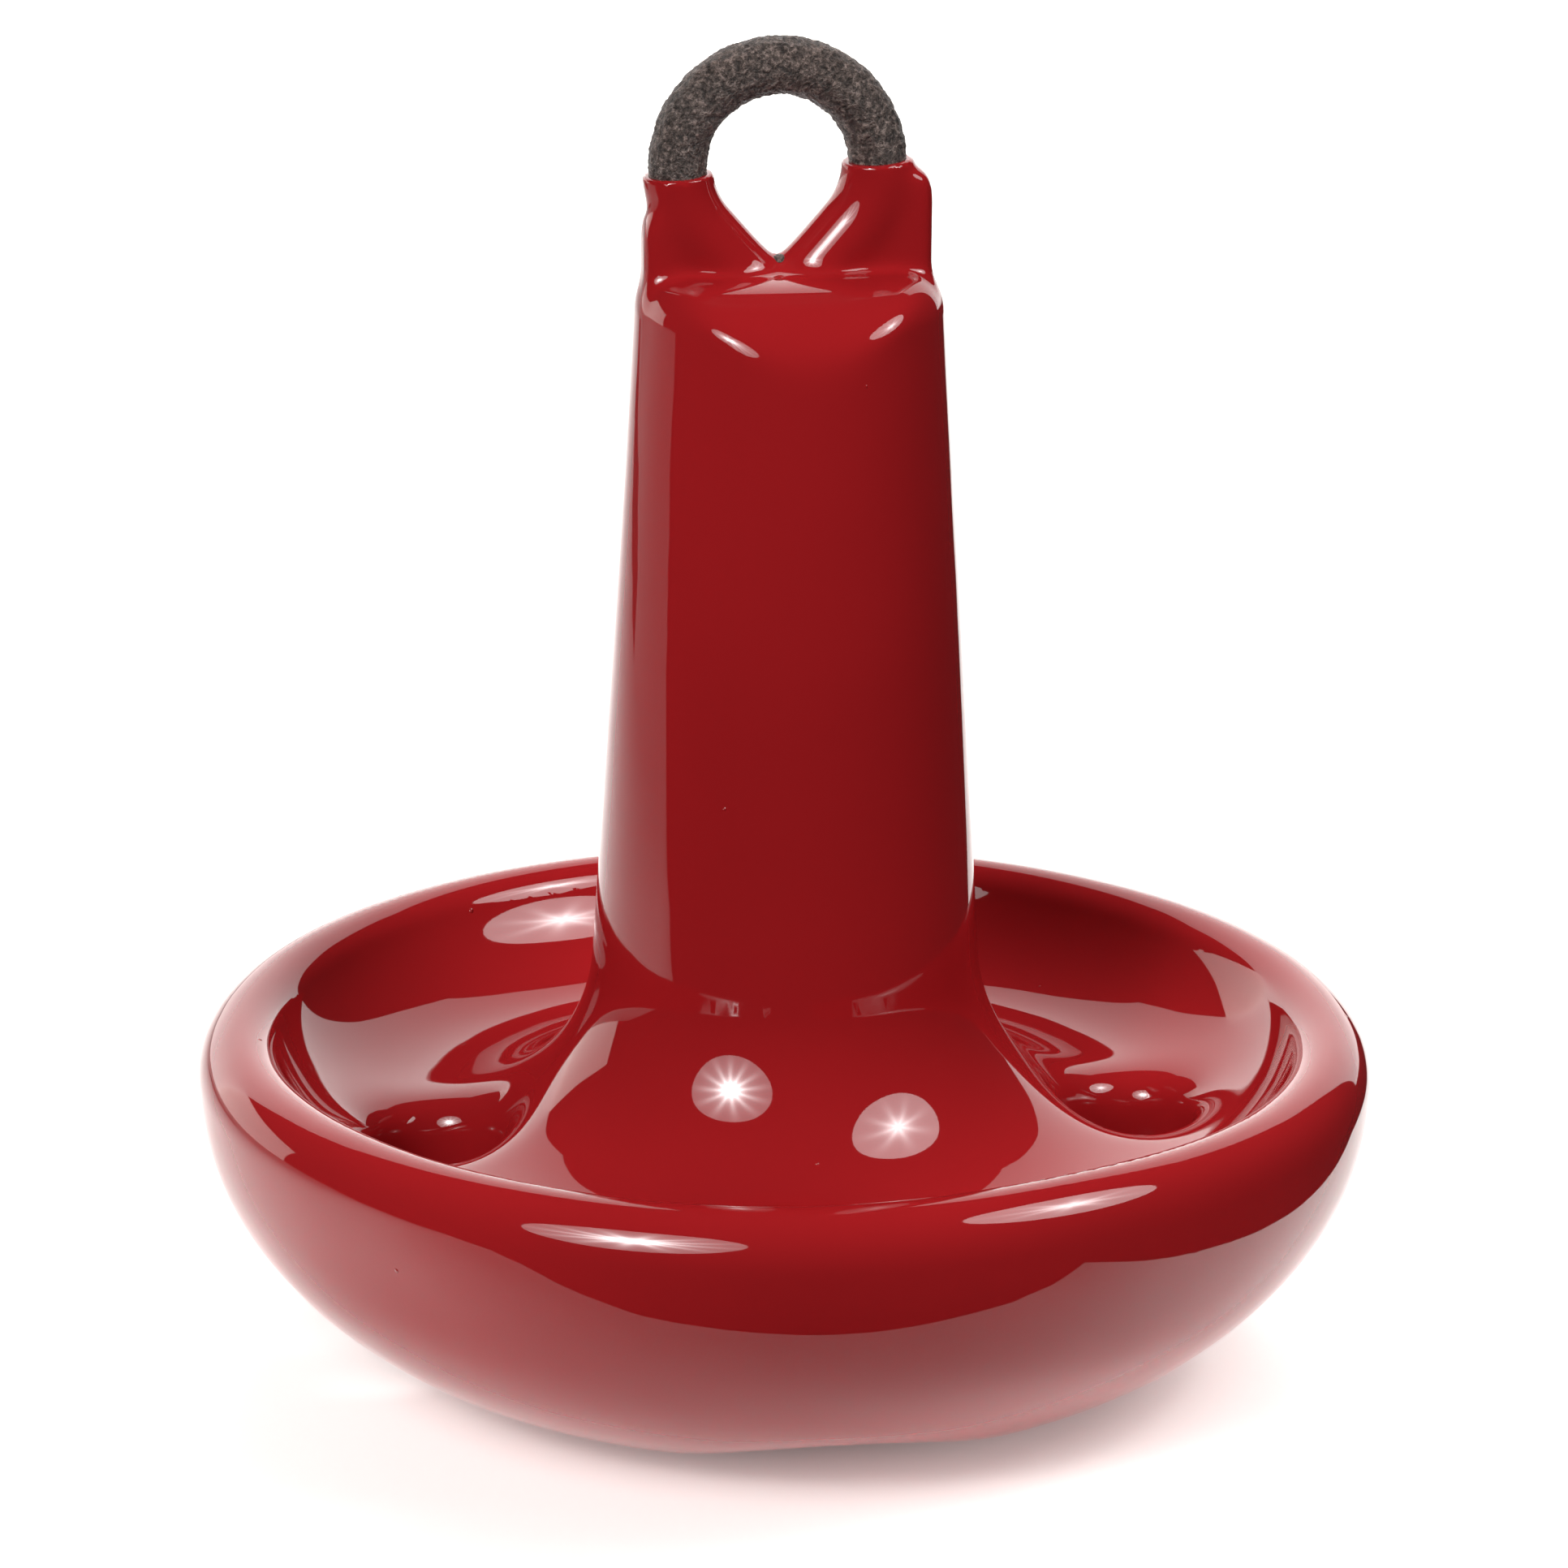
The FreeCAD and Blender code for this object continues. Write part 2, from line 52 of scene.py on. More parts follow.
# name: (label, value, unit, description). Lengths are millimetres here and metres in the
# property group; angles are degrees here and radians there.
SIZES = {
    "cap_radius": ("Cap radius", 89.0, "mm", "Widest radius of the cap"),
    "equator": ("Equator", 45.45, "mm", "Height of the widest point"),
    "side_arc": ("Side arc", 38.4, "mm", "Upper arc of the underside"),
    "foot_radius": ("Foot radius", 36.4, "mm", "Flat disc under the cap"),
    "rim_arc": ("Rim arc", 7.7, "mm", "Outer rounding of the rim"),
    "lip_arc": ("Lip arc", 5.6, "mm", "Top rounding of the rim"),
    "lip_height": ("Lip height", 47.27, "mm", "Height of the lip's centre"),
    "trough_radius": ("Trough radius", 57.2, "mm", "Circle of the dish's lowest points"),
    "trough_height": ("Trough height", 37.0, "mm", "Height of the dish's lowest points"),
    "flare_arc": ("Flare arc", 28.0, "mm", "Hollow between dish and stem"),
    "stem_taper": ("Stem taper", 3.7, "deg", "Lean of the stem's side"),
    "stem_height": ("Stem height", 170.0, "mm", "Top of the stem"),
    "stem_edge": ("Stem edge", 7.0, "mm", "Rounding of the stem's top"),
    "crown_front": ("Crown front", 24.8, "mm", "How far forward the crown's arc reaches"),
    "crown_arc": ("Crown arc", 18.0, "mm", "Rounding of the stem's top towards the front"),
    "pool_rise": ("Pool rise", 1.1, "mm", "Extra vinyl pooled on the front of the rim"),
    "pool_x": ("Pool X", 32.0, "mm", "Where the vinyl pooled"),
    "pool_y": ("Pool Y", -75.0, "mm", "Where the vinyl pooled"),
    "pool_width": ("Pool width", 21.0, "mm", "Spread of the pooled vinyl"),
    "drain_circle": ("Drain circle", 52.5, "mm", "Distance of the drains from the axis"),
    "drain_radius": ("Drain radius", 9.5, "mm", "Waist of a drain hole"),
    "drain_tilt": ("Drain tilt", 12.0, "deg", "Lean of a drain, outward going down"),
    "drain_top": ("Drain top", 5.0, "mm", "How far a drain reaches over the dish"),
    "drain_soft": ("Drain rounding", 13.0, "mm", "Reach of the rounding at a drain's mouths"),
    "hollow_arc": ("Hollow arc", 68.0, "mm", "Radius of the shallow hollows underneath"),
    "hollow_depth": ("Hollow depth", 2.4, "mm", "Depth of the shallow hollows"),
    "hollow_lean": ("Hollow lean", 20.7, "deg", "Direction of the hollows"),
    "hollow_soft": ("Hollow rounding", 6.0, "mm", "Reach of the rounding at a hollow's edge"),
    "crown_slope": ("Crown slope", 20.0, "deg", "Fall of the stem's top behind the tab"),
    "notch": ("Notch", 2.4, "mm", "Radius of the dent in the tab's left edge"),
    "tab_left": ("Tab left", 22.0, "mm", "Left edge of the tab"),
    "tab_right": ("Tab right", 20.8, "mm", "Right edge of the tab"),
    "tab_thickness": ("Tab thickness", 8.6, "mm", "Thickness of the coated tab"),
    "tab_left_top": ("Tab left top", 178.8, "mm", "Height of the tab's left shoulder"),
    "tab_right_top": ("Tab right top", 184.6, "mm", "Height of the tab's right shoulder"),
    "tab_corner": ("Tab corner", 6.0, "mm", "Reach of the rounding at the tab's corners"),
    "eye_offset": ("Eye offset", -2.0, "mm", "The eye's distance from the stem's axis"),
    "eye_height": ("Eye height", 185.2, "mm", "Height of the eye's centre"),
    "eye_radius": ("Eye radius", 14.8, "mm", "Centre line of the eye's bar"),
    "eye_bar": ("Eye bar", 4.25, "mm", "Radius of the bare bar"),
    "leg_angle": ("Leg angle", 40.0, "deg", "Lean of the eye's legs"),
    "skin": ("Skin", 2.2, "mm", "Vinyl on cap, stem and tab"),
    "leg_skin": ("Leg skin", 0.95, "mm", "Vinyl on the eye's legs"),
    "dip_height": ("Dip height", 184.9, "mm", "Where the vinyl ends"),
    "dip_slope": ("Dip slope", 3.0, "deg", "Tilt of the vinyl's edge"),
    "wobble": ("Wobble", 0.10, "mm", "Unevenness of the dipped surface"),
}
SCALE = {"mm": MM, "deg": DEG}


# ---------------------------------------------------------------- node arithmetic

class Amount:
    """A number that a node tree works out. Arithmetic on it adds Math nodes."""

    def __init__(self, tree, socket):
        self.tree = tree
        self.socket = socket

    def math(self, operation, *others):
        node = blank(self.tree, operation)
        for slot, value in zip(node.inputs, (self,) + others):
            feed(self.tree, slot, value)
        return Amount(self.tree, node.outputs[0])

    def flipped(self, operation, other):
        node = blank(self.tree, operation)
        feed(self.tree, node.inputs[0], other)
        feed(self.tree, node.inputs[1], self)
        return Amount(self.tree, node.outputs[0])

    def __add__(self, other):
        return self.math("ADD", other)

    def __radd__(self, other):
        return self.math("ADD", other)

    def __sub__(self, other):
        return self.math("SUBTRACT", other)

    def __rsub__(self, other):
        return self.flipped("SUBTRACT", other)

    def __mul__(self, other):
        return self.math("MULTIPLY", other)

    def __rmul__(self, other):
        return self.math("MULTIPLY", other)

    def __truediv__(self, other):
        return self.math("DIVIDE", other)

    def __neg__(self):
        return self.math("MULTIPLY", -1.0)

    def __lt__(self, other):
        return self.math("LESS_THAN", other)

    def __gt__(self, other):
        return self.math("GREATER_THAN", other)


def feed(tree, slot, value):
    """Link a socket or an Amount to an input, or set the input to a plain value."""
    if isinstance(value, Amount):
        value = value.socket
    if isinstance(value, bpy.types.NodeSocket):
        tree.links.new(value, slot)
    else:
        slot.default_value = value


def blank(tree, operation):
    """A Math node with nothing fed to it yet."""
    node = tree.nodes.new("ShaderNodeMath")
    node.operation = operation
    return node


def sine(angle):
    return angle.math("SINE")


def cosine(angle):
    return angle.math("COSINE")


def smaller(one, other, reach=0.0):
    """The smaller of two; with a reach, the two blend where they're that close."""
    if reach == 0.0:
        return one.math("MINIMUM", other)
    return one.math("SMOOTH_MIN", other, reach)


def larger(one, other, reach=0.0):
    """The larger of two; with a reach, the two blend where they're that close."""
    if reach == 0.0:
        return one.math("MAXIMUM", other)
    return one.math("SMOOTH_MAX", other, reach)


def length(*parts):
    total = parts[0] * parts[0]
    for part in parts[1:]:
        total = total + part * part
    return total.math("SQRT")


def cross(ax, ay, bx, by):
    return ax * by - ay * bx


def climb(value, start, width, least=0.0):
    """Rises from least to 1 while the value goes from its start over its width."""
    return smaller(larger((value - start) / width, least), 1.0)


def choose(test, yes, no):
    """yes where the test is 1, no where it is 0."""
    node = test.tree.nodes.new("GeometryNodeSwitch")
    node.input_type = "FLOAT"
    feed(test.tree, node.inputs["Switch"], test)
    feed(test.tree, node.inputs["False"], no)
    feed(test.tree, node.inputs["True"], yes)
    return Amount(test.tree, node.outputs[0])


def node_in(tree, kind, settings=None, **inputs):
    """Add a node, set its properties and feed its inputs by name."""
    node = tree.nodes.new(kind)
    for key, value in (settings or {}).items():
        setattr(node, key, value)
    for key, value in inputs.items():
        feed(tree, node.inputs[key.replace("_", " ")], value)
    return node


def vector(tree, x, y, z):
    return node_in(tree, "ShaderNodeCombineXYZ", X=x, Y=y, Z=z).outputs[0]


def split(tree, socket):
    node = node_in(tree, "ShaderNodeSeparateXYZ", Vector=socket)
    return [Amount(tree, out) for out in node.outputs]


def vector_math(tree, operation, *values):
    """A Vector Math node's result; its inputs are the ones the operation shows."""
    node = tree.nodes.new("ShaderNodeVectorMath")
    node.operation = operation
    slots = [s for s in node.inputs if s.enabled]
    for slot, value in zip(slots, values):
        feed(tree, slot, value)
    return [out for out in node.outputs if out.enabled][0]


def scaled(tree, socket, factor):
    node = tree.nodes.new("ShaderNodeVectorMath")
    node.operation = "SCALE"
    feed(tree, node.inputs[0], socket)
    feed(tree, node.inputs["Scale"], factor)
    return node.outputs[0]


def new_tree(name):
    return bpy.data.node_groups.new(name, "GeometryNodeTree")


def add_socket(tree, name, way, kind="NodeSocketFloat"):
    return tree.interface.new_socket(name=name, in_out=way, socket_type=kind)


def size_sockets(tree):
    """One named input per size; returns the group's input node."""
    for label, value, unit, note in SIZES.values():
        socket = add_socket(tree, label, "INPUT")
        socket.default_value = value * SCALE[unit]
        socket.description = note
    return tree.nodes.new("NodeGroupInput")


def size_amounts(tree, entry):
    """The sizes as Amounts, by their names in SIZES."""
    return {key: Amount(tree, entry.outputs[spec[0]]) for key, spec in SIZES.items()}


# ---------------------------------------------------------------- the anchor's form

# How far soft joins and roundings reach.
EYE_JOIN = 3.0 * MM
TAB_EDGE = 4.0 * MM
DENT_EDGE = 2.0 * MM
CROWN_EDGE_BACK = 3.0 * MM
CROWN_EDGE_FRONT = 2.0 * MM
DIP_EDGE = 0.7 * MM
V_ROUND = 1.2 * MM

# The tab goes this deep into the stem. The dent sits this many radii out and up.
TAB_ROOT = 25.0 * MM
DENT_OUT, DENT_UP = 0.6, 0.8

# Pooled vinyl starts at this height and is full after this rise.
POOL_FROM = 40.0 * MM
POOL_RAMP = 9.0 * MM

# The crown's front is an oval this much flatter sideways. Below it, the cut is off.
CROWN_OVAL = 0.40
CROWN_OFF = -5.0 * MM

# The iron body ends this far below the vinyl's edge; the eye's bar goes on from there.
BODY_BELOW_DIP = 5.0 * MM
WAVE_SCALE = 38.0


def cap_and_stem(r, z, s):
    """Distance to the turned body: a chain of arcs that share their tangents."""
    cap, equator, foot = s["cap_radius"], s["equator"], s["foot_radius"]
    side_x = cap - s["side_arc"]
    reach = side_x - foot
    lower = (reach * reach + equator * equator - s["side_arc"] * s["side_arc"]) / (
        (equator - s["side_arc"]) * 2.0)
    side = length(r - side_x, z - equator) - s["side_arc"]
    belly = length(r - foot, z - lower) - lower
    past_belly = cross(reach, equator - lower, r - foot, z - lower) > 0.0
    under = choose(past_belly, side, belly)
    under = choose(r < foot, -z, under)
    under = choose(z > equator, r - cap, under)

    rim_x = cap - s["rim_arc"]
    gap = s["rim_arc"] - s["lip_arc"]
    rise = s["lip_height"] - equator
    run = (gap * gap - rise * rise).math("SQRT")
    lip_x = rim_x + run
    rim = length(r - rim_x, z - equator) - s["rim_arc"]
    rim = choose(z < equator, r - cap, rim)
    lip = length(r - lip_x, z - s["lip_height"]) - s["lip_arc"]
    past_rim = cross(run, rise, r - rim_x, z - equator) > 0.0
    edge = choose(past_rim, lip, rim)

    trough, trough_z = s["trough_radius"], s["trough_height"]
    out = lip_x - trough
    up = s["lip_height"] - trough_z
    wall_arc = (out * out + up * up - s["lip_arc"] * s["lip_arc"]) / (
        (up + s["lip_arc"]) * 2.0)
    wall_z = trough_z + wall_arc
    wall = wall_arc - length(r - trough, z - wall_z)
    in_wall = cross(out, s["lip_height"] - wall_z, r - trough, z - wall_z) < 0.0
    outer = choose(in_wall, wall, edge)

    flare_z = trough_z + s["flare_arc"]
    nr, nz = cosine(s["stem_taper"]), sine(s["stem_taper"])
    flare = s["flare_arc"] - length(r - trough, z - flare_z)
    in_flare = cross(-nr, -nz, r - trough, z - flare_z) > 0.0
    side_line = (r - trough) * nr + (z - flare_z) * nz + s["flare_arc"]
    edge_z = s["stem_height"] - s["stem_edge"]
    edge_x = trough - (s["stem_edge"] + s["flare_arc"] + (edge_z - flare_z) * nz) / nr
    corner = length(r - edge_x, z - edge_z) - s["stem_edge"]
    corner = choose(r < edge_x, z - s["stem_height"], corner)
    past_side = cross(nr, nz, r - edge_x, z - edge_z) > 0.0
    inner = choose(in_flare, flare, choose(past_side, corner, side_line))
    return larger(under, choose(r < trough, inner, outer)), lower


def drains(x, y, z, s):
    """Distance to the two slanted drain holes."""
    across = x.math("ABSOLUTE") - s["drain_circle"]
    up = z - s["trough_height"]
    off = across * cosine(s["drain_tilt"]) + up * sine(s["drain_tilt"])
    bore = length(off, y) - s["drain_radius"]
    return larger(bore, up - s["drain_top"], s["drain_soft"])


def hollows(x, y, z, s, lower):
    """Distance to the two large balls that press hollows into the underside."""
    out = lower + s["hollow_arc"] - s["hollow_depth"]
    ball_y = s["foot_radius"] + out * sine(s["hollow_lean"])
    ball_z = lower - out * cosine(s["hollow_lean"])
    return length(x, y.math("ABSOLUTE") - ball_y, z - ball_z) - s["hollow_arc"]


def teardrop(x, z, s):
    """Flat distance to the eye's centre line: round above, a V below."""
    off = x - s["eye_offset"]
    side = (off * off + V_ROUND ** 2).math("SQRT")
    up = z - s["eye_height"]
    nx, nz = cosine(s["leg_angle"]), -sine(s["leg_angle"])
    straight = side * nx + up * nz
    ring = length(side, up)
    on_leg = cross(nx, nz, side, up) < 0.0
    return choose(on_leg, straight, ring) - s["eye_radius"]


def tab_plate(x, y, z, s, drop):
    """Distance to the flat tab: a plate with a dent, cut away inside the eye."""
    centre = (s["tab_right"] - s["tab_left"]) * 0.5
    half = (s["tab_right"] + s["tab_left"]) * 0.5
    top = choose(x < s["eye_offset"], s["tab_left_top"], s["tab_right_top"])
    outline = larger((x - centre).math("ABSOLUTE") - half, z - top, s["tab_corner"])
    plate = larger(outline, y.math("ABSOLUTE") - s["tab_thickness"] * 0.5, TAB_EDGE)
    dent = length(x + s["tab_left"] + s["notch"] * DENT_OUT,
                  z - s["tab_left_top"] - s["notch"] * DENT_UP) - s["notch"]
    plate = larger(plate, -dent, DENT_EDGE)
    plate = larger(plate, s["stem_height"] - TAB_ROOT - z)
    return larger(plate, -drop, TAB_EDGE)


def crown_cuts(body, x, y, z, s):
    """Slope the stem's top behind the tab and round it towards the front."""
    fall = (z - s["stem_height"]) * cosine(s["crown_slope"]) + y * sine(s["crown_slope"])
    body = larger(body, fall, CROWN_EDGE_BACK)
    forward = length(x * CROWN_OVAL, smaller(y, 0.0))
    ahead = larger(forward - s["crown_front"] + s["crown_arc"], 0.0)
    above = z - s["stem_height"] + s["crown_arc"]
    crown = choose(above > 0.0, length(ahead, above) - s["crown_arc"], CROWN_OFF)
    return larger(body, crown, CROWN_EDGE_FRONT)


def form_group():
    """Node group: a point goes in, its distances to the vinyl's and the iron's surfaces
    come out. Negative is inside."""
    tree = new_tree("anchor form")
    add_socket(tree, "Point", "INPUT", "NodeSocketVector")
    entry = size_sockets(tree)
    add_socket(tree, "Vinyl", "OUTPUT")
    add_socket(tree, "Iron", "OUTPUT")
    s = size_amounts(tree, entry)
    point = entry.outputs["Point"]
    x, y, z = split(tree, point)

    near_pool = length(x - s["pool_x"], y - s["pool_y"]) / s["pool_width"]
    on_rim = climb(z, POOL_FROM, POOL_RAMP)
    pooled = (near_pool * near_pool * -0.5).math("EXPONENT") * on_rim * s["pool_rise"]
    body, lower = cap_and_stem(length(x, y), z - pooled, s)
    body = crown_cuts(body, x, y, z, s)
    body = larger(body, -drains(x, y, z, s), s["drain_soft"])
    body = larger(body, -hollows(x, y, z, s, lower), s["hollow_soft"])
    drop = teardrop(x, z, s)
    plate = tab_plate(x, y, z, s, drop)
    bar = length(drop, y)

    coated_eye = smaller(plate, bar - (s["eye_bar"] + s["leg_skin"]), EYE_JOIN)
    vinyl = smaller(body, coated_eye, EYE_JOIN)
    wave = node_in(tree, "ShaderNodeTexNoise", Vector=point, Scale=WAVE_SCALE, Detail=1.0,
                   Roughness=0.4)
    vinyl = vinyl + (Amount(tree, wave.outputs[0]) - 0.5) * s["wobble"] * 2.0
    tilt = s["dip_slope"].math("TANGENT")
    dip = s["dip_height"] + (x - s["eye_offset"]) * tilt
    vinyl = larger(vinyl, z - dip, DIP_EDGE)

    iron_eye = smaller(plate + s["skin"], bar - s["eye_bar"], EYE_JOIN)
    iron = smaller(body + s["skin"], iron_eye, EYE_JOIN)
    iron = larger(iron, z - dip + BODY_BELOW_DIP)

    leave = tree.nodes.new("NodeGroupOutput")
    feed(tree, leave.inputs["Vinyl"], vinyl)
    feed(tree, leave.inputs["Iron"], iron)
    return tree


def shared_form():
    """The form group, made once for both pieces."""
    return bpy.data.node_groups.get("anchor form") or form_group()


def use_form(tree, group, entry, point):
    """Put the form group in a tree, with that tree's sizes, at one point."""
    node = tree.nodes.new("GeometryNodeGroup")
    node.node_tree = group
    feed(tree, node.inputs["Point"], point)
    for label, *_ in SIZES.values():
        tree.links.new(entry.outputs[label], node.inputs[label])
    return node


# ---------------------------------------------------------------- meshing in nodes

# Across, cells are fine near the axis, where the tab is, and coarse beyond. Both counts
# are cells from the axis outwards.
FINE = 0.8 * MM
COARSE = 1.5 * MM
ACROSS_FINE = 30
ACROSS = ACROSS_FINE + 47

# Upwards, each band has its count of cells and their size: underside, rim, stem, tab.
UP_START = -3.0 * MM
UP_BANDS = ((24, 1.7 * MM), (22, 0.85 * MM), (40, 2.4 * MM), (64, 0.62 * MM))
UP_CELLS = sum(count for count, _ in UP_BANDS)

# The grid stores distances in millimetres.
GRID_GAIN = 1000.0

# The slope is measured over this step. Each round moves a vertex by this much at most,
# and takes the form to be at least this steep.
STEP = 0.05 * MM
LEAP = 0.6 * MM
FLATTEST = 0.5
ROUNDS = 3


def stretch_across(cells):
    """Metres from the axis for a count of cells from it."""
    size = cells.math("ABSOLUTE")
    near = smaller(size, float(ACROSS_FINE)) * FINE
    far = larger(size - float(ACROSS_FINE), 0.0) * COARSE
    return (near + far) * cells.math("SIGN")


def stretch_up(cells):
    """Metres above the floor: finer bands at the rim and at the eye."""
    height, first = UP_START, 0
    for count, size in UP_BANDS:
        height = smaller(larger(cells - float(first), 0.0), float(count)) * size + height
        first += count
    return height


def stretched(tree, point):
    """Metres for a point that is counted in cells."""
    x, y, z = split(tree, point)
    return vector(tree, stretch_across(x), stretch_across(y), stretch_up(z))


def block_of_cells(tree, density, coarse):
    """The surface where the density is 0 in a block of cells, before it is stretched."""
    top = float(UP_CELLS)
    cube = node_in(tree, "GeometryNodeVolumeCube", Density=density, Background=-1.0,
                   Min=(-ACROSS, -ACROSS, 0.0), Max=(ACROSS, ACROSS, top))
    cube.inputs["Resolution X"].default_value = 2 * ACROSS // coarse + 1
    cube.inputs["Resolution Y"].default_value = 2 * ACROSS // coarse + 1
    cube.inputs["Resolution Z"].default_value = UP_CELLS // coarse + 1
    return node_in(tree, "GeometryNodeVolumeToMesh", Volume=cube.outputs[0], Threshold=0.0)


def slope(tree, group, entry, output):
    """The form's slope at the vertex, by small steps along each axis."""
    here = tree.nodes.new("GeometryNodeInputPosition").outputs[0]
    parts = []
    for axis in range(3):
        ends = []
        for sign in (1.0, -1.0):
            step = [0.0, 0.0, 0.0]
            step[axis] = sign * STEP
            point = vector_math(tree, "ADD", here, step)
            node = use_form(tree, group, entry, point)
            ends.append(Amount(tree, node.outputs[output]))
        parts.append((ends[0] - ends[1]) * (0.5 / STEP))
    return parts


def settle(tree, mesh, group, entry, output):
    """Move the vertices onto the exact surface."""
    for _ in range(ROUNDS):
        parts = slope(tree, group, entry, output)
        here = tree.nodes.new("GeometryNodeInputPosition").outputs[0]
        value = Amount(tree, use_form(tree, group, entry, here).outputs[output])
        steep = larger(length(*parts), FLATTEST)
        pull = smaller(larger(-value, -LEAP), LEAP) / (steep * steep)
        offset = vector(tree, *[part * pull for part in parts])
        mesh = node_in(tree, "GeometryNodeSetPosition", Geometry=mesh,
                       Offset=offset).outputs[0]
    return mesh


def surface(tree, group, entry, output, coarse=1):
    """The closed surface of one of the form's outputs, from cells coarse times as big."""
    cells = tree.nodes.new("GeometryNodeInputPosition").outputs[0]
    inside = use_form(tree, group, entry, stretched(tree, cells))
    density = -Amount(tree, inside.outputs[output])
    mesh = block_of_cells(tree, density * GRID_GAIN, coarse).outputs[0]
    corner = tree.nodes.new("GeometryNodeInputPosition").outputs[0]
    mesh = node_in(tree, "GeometryNodeSetPosition", Geometry=mesh,
                   Position=stretched(tree, corner)).outputs[0]
    return settle(tree, mesh, group, entry, output)


def finish_tree(tree, mesh, finish):
    """Shade smooth, realise and give the material; every tree ends this way."""
    add_socket(tree, "Geometry", "OUTPUT", "NodeSocketGeometry")
    smooth = node_in(tree, "GeometryNodeSetShadeSmooth", Geometry=mesh)
    real = node_in(tree, "GeometryNodeRealizeInstances", Geometry=smooth.outputs[0])
    painted = node_in(tree, "GeometryNodeSetMaterial", Geometry=real.outputs[0])
    painted.inputs["Material"].default_value = finish
    leave = tree.nodes.new("NodeGroupOutput")
    tree.links.new(painted.outputs[0], leave.inputs[0])


def coat_tree(group, finish):
    """The dipped coat, with normals from the exact form so that reflections are clean."""
    tree = new_tree("vinyl coat")
    entry = size_sockets(tree)
    mesh = surface(tree, group, entry, "Vinyl")
    parts = slope(tree, group, entry, "Vinyl")
    normal = vector_math(tree, "NORMALIZE", vector(tree, *parts))
    dressed = node_in(tree, "GeometryNodeSetMeshNormal", {"mode": "FREE"}, Mesh=mesh)
    feed(tree, [i for i in dressed.inputs if i.type == "VECTOR"][0], normal)
    finish_tree(tree, dressed.outputs[0], finish)
    return tree


# The eye's bar: points along it, sides round it, and two layers of roughness.
BAR_POINTS = 420
BAR_SIDES = 96
SWELL_SCALE, SWELL_HEIGHT = 130.0, 0.6
GRAIN_SCALE, GRAIN_HEIGHT = 950.0, 0.85

# A casting burr shows through the vinyl at the bottom of the V, placed from the eye.
BURR_RADIUS = 1.25 * MM
BURR_RIGHT, BURR_FORWARD, BURR_DOWN = 0.2 * MM, 1.2 * MM, 14.45 * MM
BURR_SPLITS = 4

# The body under the skin needs cells only half as fine.
HIDDEN_COARSE = 2


def bare_eye(tree, entry):
    """The eye's bar: a line bent along the eye, swept with a round section."""
    s = size_amounts(tree, entry)
    lean = s["leg_angle"]
    leg = s["eye_radius"] / lean.math("TANGENT")
    bow = (lean * 2.0 + math.pi) * s["eye_radius"]
    total = leg * 2.0 + bow
    line = tree.nodes.new("GeometryNodeCurvePrimitiveLine")
    fine = node_in(tree, "GeometryNodeResampleCurve", Curve=line.outputs[0])
    fine.inputs["Count"].default_value = BAR_POINTS
    along = Amount(tree, tree.nodes.new("GeometryNodeSplineParameter").outputs["Factor"])
    walked = along * total
    turn = (walked - leg) / s["eye_radius"] - lean
    ring_x = -cosine(turn) * s["eye_radius"]
    ring_z = sine(turn) * s["eye_radius"]
    low_z = -s["eye_radius"] / sine(lean)
    first_x = -walked * sine(lean)
    first_z = low_z + walked * cosine(lean)
    back = total - walked
    last_x = back * sine(lean)
    last_z = low_z + back * cosine(lean)
    on_first = walked < leg
    on_last = walked > (leg + bow)
    x = choose(on_first, first_x, choose(on_last, last_x, ring_x)) + s["eye_offset"]
    z = choose(on_first, first_z, choose(on_last, last_z, ring_z)) + s["eye_height"]
    path = node_in(tree, "GeometryNodeSetPosition", Geometry=fine.outputs[0],
                   Position=vector(tree, x, 0.0, z))
    round_bar = tree.nodes.new("GeometryNodeCurvePrimitiveCircle")
    round_bar.inputs["Resolution"].default_value = BAR_SIDES
    feed(tree, round_bar.inputs["Radius"], s["eye_bar"])
    bar = node_in(tree, "GeometryNodeCurveToMesh", Curve=path.outputs[0],
                  Profile_Curve=round_bar.outputs[0], Fill_Caps=True)
    here = tree.nodes.new("GeometryNodeInputPosition").outputs[0]
    swell = node_in(tree, "ShaderNodeTexNoise", Vector=here, Scale=SWELL_SCALE, Detail=2.0)
    grain = node_in(tree, "ShaderNodeTexNoise", Vector=here, Scale=GRAIN_SCALE, Detail=2.0,
                    Roughness=0.7)
    height = (Amount(tree, swell.outputs[0]) - 0.5) * SWELL_HEIGHT * MM
    height = height + (Amount(tree, grain.outputs[0]) - 0.5) * GRAIN_HEIGHT * MM
    outward = tree.nodes.new("GeometryNodeInputNormal").outputs[0]
    rough = node_in(tree, "GeometryNodeSetPosition", Geometry=bar.outputs[0],
                    Offset=scaled(tree, outward, height))
    return rough.outputs[0]


def casting_tree(group, finish):
    """The solid casting: its body under the skin, the eye's rough bar and the burr."""
    tree = new_tree("iron casting")
    entry = size_sockets(tree)
    s = size_amounts(tree, entry)
    ball = node_in(tree, "GeometryNodeMeshIcoSphere", Radius=BURR_RADIUS)
    ball.inputs["Subdivisions"].default_value = BURR_SPLITS
    place = vector(tree, s["eye_offset"] + BURR_RIGHT, -BURR_FORWARD,
                   s["eye_height"] - BURR_DOWN)
    burr = node_in(tree, "GeometryNodeTransform", Geometry=ball.outputs[0],
                   Translation=place)
    joined = tree.nodes.new("GeometryNodeJoinGeometry")
    for part in (surface(tree, group, entry, "Iron", HIDDEN_COARSE),
                 bare_eye(tree, entry), burr.outputs[0]):
        tree.links.new(part, joined.inputs[0])
    finish_tree(tree, joined.outputs[0], finish)
    return tree


# A tree that failed leaves fewer faces than this.
FEWEST_FACES = 100


